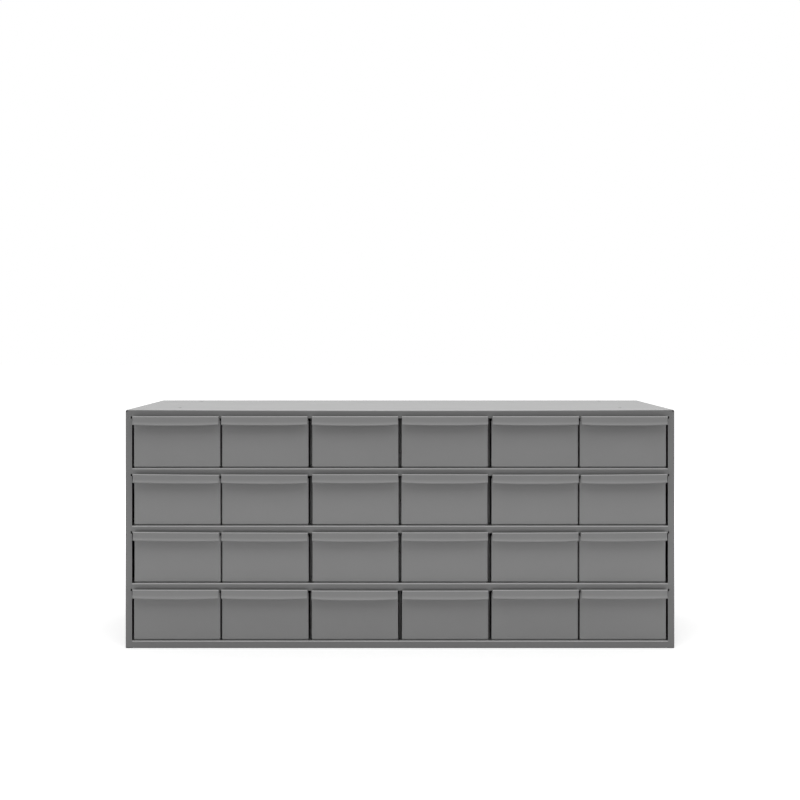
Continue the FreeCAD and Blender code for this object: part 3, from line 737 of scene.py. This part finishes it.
def makeDrawer(row, column):
    chance = random.Random(100 * row + column)
    name = f"r{row + 1}c{column + 1}"
    lean = drawer["lean"][row][column]
    mirrored = cabinet["columns"] - 1 - column
    hang = drawer["hang"][row][min(column, mirrored)]
    hang = hang if column < mirrored else hang[::-1]
    up = cabinet["baseRail"] + (cabinet["rows"] - 1 - row) * rowPitch
    shift = ((column - mirrored) / 2 * columnPitch + lean, cabinet["front"], up)
    lipBow = drawer["lipBow"] * chance.uniform(0.7, 1.3)
    seed = 10 * row + column
    halfFace = drawer["halfFace"]

    def settleFront(place, zone, acrossZone):
        if zone > 2 or place.z > drawer["shoulder"] + drawer["relief"] / 2:
            place.x *= hoodSpread
        x, y, z = place
        bow = max(0, 1 - (x / halfFace) ** 2)
        tall = max(0, 1 - ((z - drawer["faceMiddle"]) / drawer["faceReach"]) ** 2)
        # the foot stands off the floor at its fold, and the top of the face comes down with the hood
        closed = (z - drawer["footStart"]) / drawer["footRun"]
        if zone == 0:
            closed = (y - drawer["setback"]) / drawer["floorFlange"]
        place.z += drawer["footLift"] * within(1 - closed)
        lowered = 1 if zone > 2 else within((z - drawer["hangStart"]) / drawer["hangRun"])
        place.z -= (hang[0] + (hang[1] - hang[0]) * (x / (2 * halfFace) + 0.5)) * lowered
        if zone >= 5:
            below = within((drawer["bowTop"] - z) / drawer["bowRun"])
            place.z -= lipBow * max(0, 1 - (abs(x) / halfFace) ** 3) * below ** 2
            place.y += drawer["lipWave"] * (1 + uneven(x, z, seed, drawer["lipWaveSize"])) * below
        elif zone in (1, 2):
            wave = drawer["wave"] * uneven(x, z, seed, drawer["waveSize"])
            place.y += bow * tall * drawer["faceDish"] + wave
            place.x -= math.copysign(drawer["sideDraw"] * tall * (abs(x) / halfFace) ** 4, x)
        return place

    def settleBox(place, zone, depthZone):
        x, y, z = place
        if depthZone and zone in (0, 1, 4):
            place.y -= drawer["sheet"] + cabinet["play"]
        elif not depthZone and zone in (0, 4):
            back = y / drawer["dishLength"]
            deep = 4 * back * (1 - back)
            place.x -= math.copysign(drawer["sideDish"] * deep * z / drawer["dishHeight"], x)
        return place

    front = foldedSheet(f"drawerFront_{name}", frontSection, frontReach, "x", frontKeep, settleFront,
                        lambda zone, acrossZone: highlightZones.get(zone, 0.0), drawer["sheet"],
                        drawerEnamel, shift=shift)
    finish(front, f"drawer_{name}", [f"drawer_{name}_front"], "drawer_paint")
    box = foldedSheet(f"drawerBox_{name}", boxSection, boxReach, "y", boxKeep, settleBox,
                      lambda *zones: 0.0, drawer["sheet"], drawerEnamel, shift=shift)
    finish(box, f"drawer_{name}", [f"drawer_{name}_box"], "drawer_paint")

    # the front's flanges are welded round the box, and the back to the tabs of the sides
    spots, beside = [], 3
    for side in (-1, 1):
        outside = shift[0] + side * (drawerWidth / 2 + beside)
        tab = shift[0] + side * (drawerWidth / 2 - drawer["tabWeld"])
        for level in drawer["flangeLevels"]:
            spots.append((front, (outside, shift[1] + drawer["flangeWeld"], up + level)))
        for level in drawer["tabLevels"]:
            spots.append((box, (tab, shift[1] + drawer["rear"] + beside, up + level)))
    markWelds(f"drawerWelds_{name}", drawerWelds, f"drawer_{name}", "drawer_paint", seed, spots)


for row in range(cabinet["rows"]):
    for column in range(cabinet["columns"]):
        makeDrawer(row, column)
    print(f"drawers of row {row + 1} folded")


# The studio: a white room with a paper floor, three lamps, and a camera where the photograph's was.
studio = {
    # the paper floor glows more between the two distances from the cabinet, in metres
    "floorColour": "#f2f2f2", "floorHalf": 20, "nearGlow": 0.45, "farGlow": 0.8, "glowStart": 0.5,
    "glowEnd": 1.5, "roomLight": 0.46,
    "cameraBack": 1906.0, "cameraHeight": 482.0, "lens": 54.95, "horizonShift": -0.0756,
    # each lamp: where it stands, what it is aimed at, width and height in metres, power in watts
    "lamps": {
        "softBox": ((0, -1.7, 2.3), (0, -0.1, 0.2), 2.6, 1.6, 30.0),
        "rearBox": ((0, 1.6, 1.6), (0, 0.1, 0.37), 2.6, 1.2, 12.0),
        "lowCard": ((0, -0.68, 0.06), (0, 0, 0.06), 2.6, 0.12, 1.1),
    },
}


def seenWhite(tree, plain, white):
    # the camera and reflections see the white room, and everything else is lit by the plain one
    rays = addNode(tree, "ShaderNodeLightPath")
    shown = addNode(tree, "ShaderNodeMath", {
        0: rays.outputs["Is Camera Ray"], 1: rays.outputs["Is Glossy Ray"]}, operation="MAXIMUM")
    either = addNode(tree, "ShaderNodeMath", {
        0: shown.outputs[0], 1: rays.outputs["Is Transmission Ray"]}, operation="MAXIMUM")
    return addNode(tree, "ShaderNodeMixShader", {0: either.outputs[0], 1: plain.outputs[0],
                                                 2: white.outputs[0]}).outputs[0]


def makeStudio():
    world = bpy.data.worlds.new("whiteRoom")
    bpy.context.scene.world = world
    world.use_nodes = True
    tree = world.node_tree
    tree.nodes.clear()
    room = addNode(tree, "ShaderNodeBackground", {
        "Color": (1, 1, 1, 1), "Strength": studio["roomLight"]})
    white = addNode(tree, "ShaderNodeBackground", {"Color": (1, 1, 1, 1), "Strength": 1.0})
    addNode(tree, "ShaderNodeOutputWorld", {"Surface": seenWhite(tree, room, white)})

    # matt white paper, which keeps the shadow near the cabinet and grows as white as the room far off
    paper = bpy.data.materials.new("matt_white_paper")
    paper.use_nodes = True
    tree = paper.node_tree
    tree.nodes.clear()
    matt = addNode(tree, "ShaderNodeBsdfDiffuse", {"Color": linear(studio["floorColour"])})
    place = addNode(tree, "ShaderNodeTexCoord").outputs["Object"]
    away = addNode(tree, "ShaderNodeVectorMath", {0: place}, operation="LENGTH")
    strength = addNode(tree, "ShaderNodeMapRange", {
        "Value": away.outputs["Value"], "From Min": studio["glowStart"], "From Max": studio["glowEnd"],
        "To Min": studio["nearGlow"], "To Max": studio["farGlow"]})
    glow = addNode(tree, "ShaderNodeEmission", {
        "Color": (1, 1, 1, 1), "Strength": strength.outputs[0]})
    lit = addNode(tree, "ShaderNodeAddShader", {0: matt.outputs[0], 1: glow.outputs[0]})
    addNode(tree, "ShaderNodeOutputMaterial", {"Surface": seenWhite(tree, matt, lit)})
    mesh = bpy.data.meshes.new("paperFloor")
    half = studio["floorHalf"]
    mesh.from_pydata([(-half, -half, 0), (half, -half, 0), (half, half, 0), (-half, half, 0)], [],
                     [(0, 1, 2, 3)])
    mesh.materials.append(paper)
    floor = bpy.data.objects.new("paperFloor", mesh)
    bpy.context.scene.collection.objects.link(floor)

    for name, (place, aim, width, height, power) in studio["lamps"].items():
        light = bpy.data.lights.new(name, "AREA")
        light.shape = "RECTANGLE"
        light.size, light.size_y, light.energy = width, height, power
        lamp = bpy.data.objects.new(name, light)
        lamp.location = place
        lamp.rotation_euler = (Vector(aim) - Vector(place)).to_track_quat("-Z", "Y").to_euler()
        lamp.visible_camera = False
        bpy.context.scene.collection.objects.link(lamp)

    view = bpy.data.cameras.new("photographView")
    view.sensor_width = 36
    view.lens = studio["lens"]
    view.shift_y = studio["horizonShift"]
    camera = bpy.data.objects.new("photographView", view)
    camera.location = (0, (cabinet["front"] - studio["cameraBack"]) * mm, studio["cameraHeight"] * mm)
    camera.rotation_euler = Euler((math.pi / 2, 0, 0))
    bpy.context.scene.collection.objects.link(camera)
    bpy.context.scene.camera = camera
    bpy.context.scene.view_settings.view_transform = "Standard"


makeStudio()
print("studio lit")
